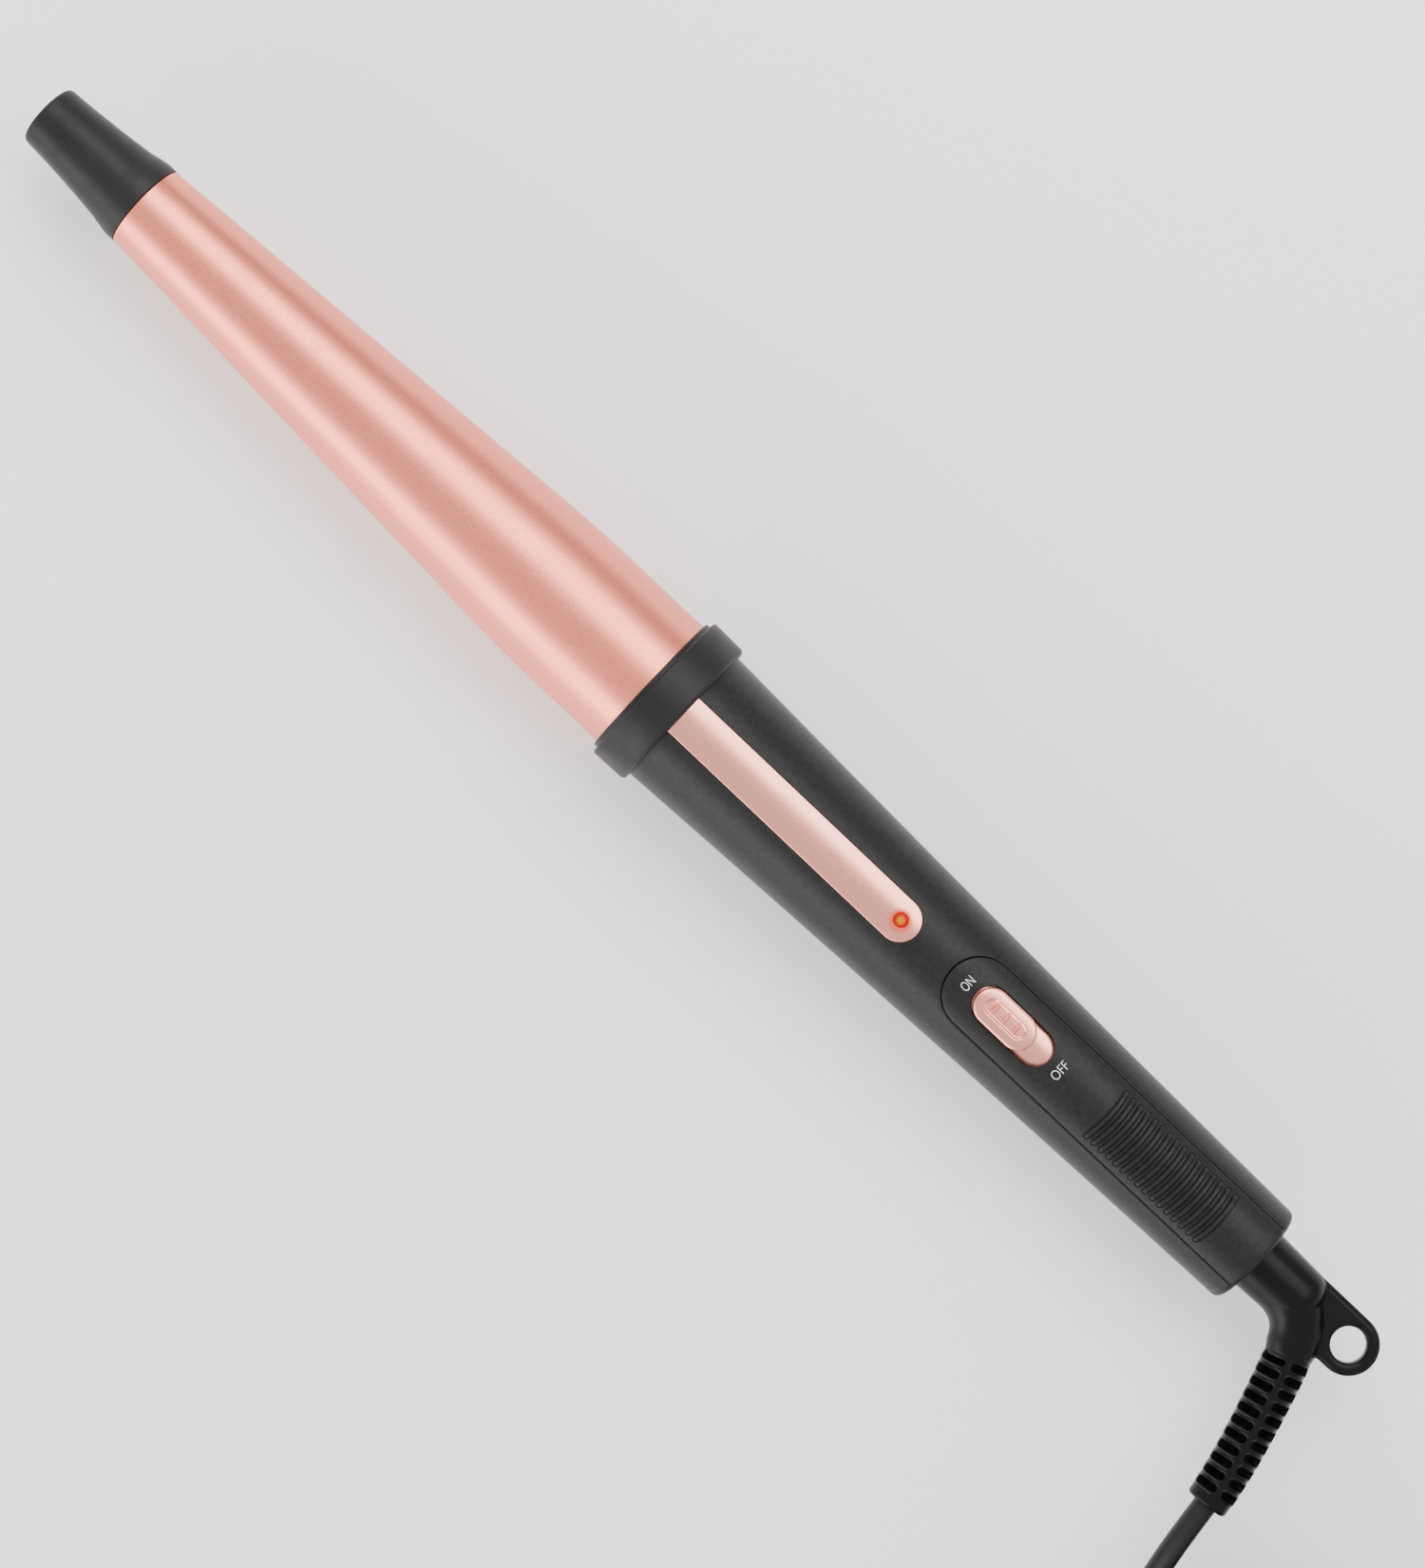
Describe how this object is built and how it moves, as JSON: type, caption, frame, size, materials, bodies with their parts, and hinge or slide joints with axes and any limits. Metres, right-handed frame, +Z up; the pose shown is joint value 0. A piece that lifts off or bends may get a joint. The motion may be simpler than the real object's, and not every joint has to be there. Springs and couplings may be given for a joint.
{
  "type": "curling wand",
  "caption": "Tapered hair curling wand: rose-gold heated barrel with cool tip and collar, dark handle with slide switch and pilot light, and a swivelling mains cord with hang loop.",
  "frame": {"origin": "on the surface that the wand lies on, below the middle of the wand's length and width (its cord set left out)", "axes": "+X along the wand from the handle's rear face to the cool tip, +Z up out of the switch side, +Y to the side where the bend relief points"},
  "size_m": [0.4493, 0.1342, 0.0363],
  "materials": {
    "tip_plastic": "matt, heat-resistant",
    "barrel_coating": "satin rose-gold ceramic coating with fine flake",
    "insulator": "moulded phenolic",
    "heater_alloy": "as extruded",
    "ceramic": "fired ceramic",
    "bright_steel": "plated",
    "amber_film": "polyimide film",
    "clear_glass": "glass bead",
    "white_lead": "glass-fibre and silicone insulation",
    "handle_plastic": "soft-touch coating",
    "rose_metal": "metallised, satin rose gold",
    "red_lens": "tinted, lit",
    "board_green": "solder mask",
    "capacitor_blue": "potted case",
    "black_epoxy": "moulded",
    "resistor_tan": "lacquered",
    "contact_brass": "plain",
    "white_nylon": "moulded",
    "cord_plastic": "satin moulded",
    "cord_jacket": "satin PVC jacket",
    "tie_fabric": "woven hook and loop"
  },
  "bodies": {
    "wand": {"cool_tip": "tip_plastic", "heating_barrel": "barrel_coating", "collar": "tip_plastic", "barrel_insulator": "insulator", "heater_clamp_upper": "heater_alloy", "heater_clamp_lower": "heater_alloy", "ptc_tiles": "ceramic", "heater_electrodes": "bright_steel", "heater_film": "amber_film", "heater_spring": "bright_steel", "thermistor": "clear_glass", "thermistor_leads": "white_lead", "thermal_fuse": "bright_steel", "heater_leads": "white_lead", "lead_sleeves": "white_lead", "handle_shell": "handle_plastic", "trim_strip": "rose_metal", "switch_panel": "handle_plastic", "led_lens": "red_lens", "control_board": "board_green", "board_screws": "bright_steel", "indicator_led": "red_lens", "film_capacitor": "capacitor_blue", "triac": "black_epoxy", "board_resistors": "resistor_tan", "controller_chip": "black_epoxy", "slide_switch_body": "black_epoxy", "swivel_retainer": "insulator", "contact_brushes": "contact_brass", "mains_leads": "white_lead"},
    "slider": {"switch_knob": "rose_metal", "slide_switch_lever": "white_nylon"},
    "swivel": {"swivel_spindle": "white_nylon", "slip_rings": "contact_brass", "swivel_elbow": "cord_plastic", "bend_relief": "cord_plastic", "cord_lead": "cord_jacket", "cord_coil": "cord_jacket", "cord_tail": "cord_jacket", "cord_tie": "tie_fabric", "plug_body": "cord_plastic", "plug_blades": "contact_brass"}
  },
  "joints": [
    {"name": "switch_slide", "type": "slide", "parent": "wand", "child": "slider", "axis": [-1, 0, 0], "range_m": [0, 0.0045]},
    {"name": "cord_swivel", "type": "hinge", "parent": "wand", "child": "swivel", "pos_m": [-0.1703, 0, 0.01815], "axis": [1, 0, 0], "continuous": true}
  ]
}
